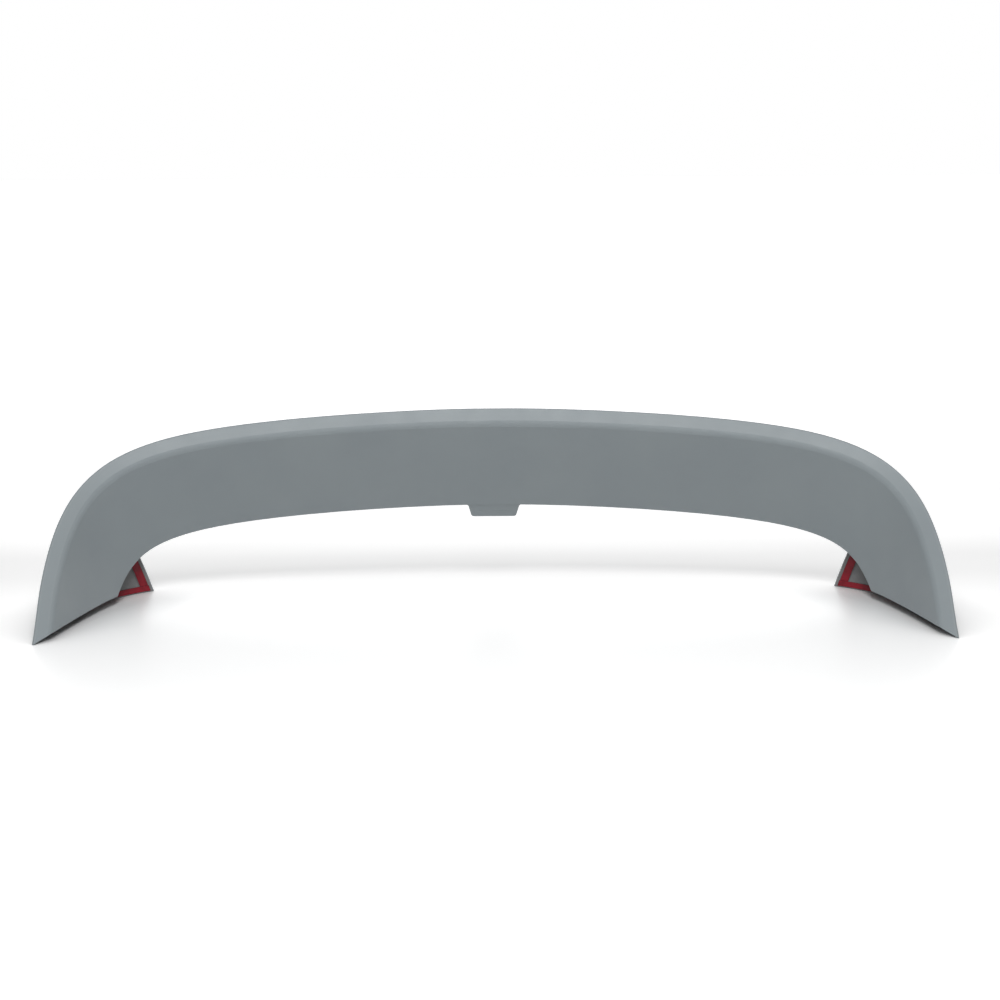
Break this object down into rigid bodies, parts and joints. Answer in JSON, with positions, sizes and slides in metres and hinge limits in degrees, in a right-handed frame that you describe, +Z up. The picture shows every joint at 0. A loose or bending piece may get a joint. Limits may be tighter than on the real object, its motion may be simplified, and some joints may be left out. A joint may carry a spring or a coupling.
{
  "type": "roof spoiler",
  "caption": "Arched hollow roof spoiler for a hatchback, in grey primer, with a bevelled outer edge, ears that carry red-lined foam tape and a small tab in the middle of its lower edge.",
  "frame": {"origin": "middle of the overall box at floor level, with the spoiler standing on its leg ends", "axes": "+X to the right along the span, +Y from the front skin towards the back skin, +Z up"},
  "size_m": [1.1564, 0.3391, 0.2551],
  "materials": {
    "primed_plastic": "matt grey primer, lightly orange-peeled",
    "tape_foam": "matt closed-cell foam",
    "tape_liner": "smooth red release film"
  },
  "bodies": {
    "root": {"shell": "primed_plastic", "left_edge_foam": "tape_foam", "left_edge_liner": "tape_liner", "left_base_foam": "tape_foam", "left_base_liner": "tape_liner", "right_edge_foam": "tape_foam", "right_edge_liner": "tape_liner", "right_base_foam": "tape_foam", "right_base_liner": "tape_liner"}
  },
  "joints": []
}
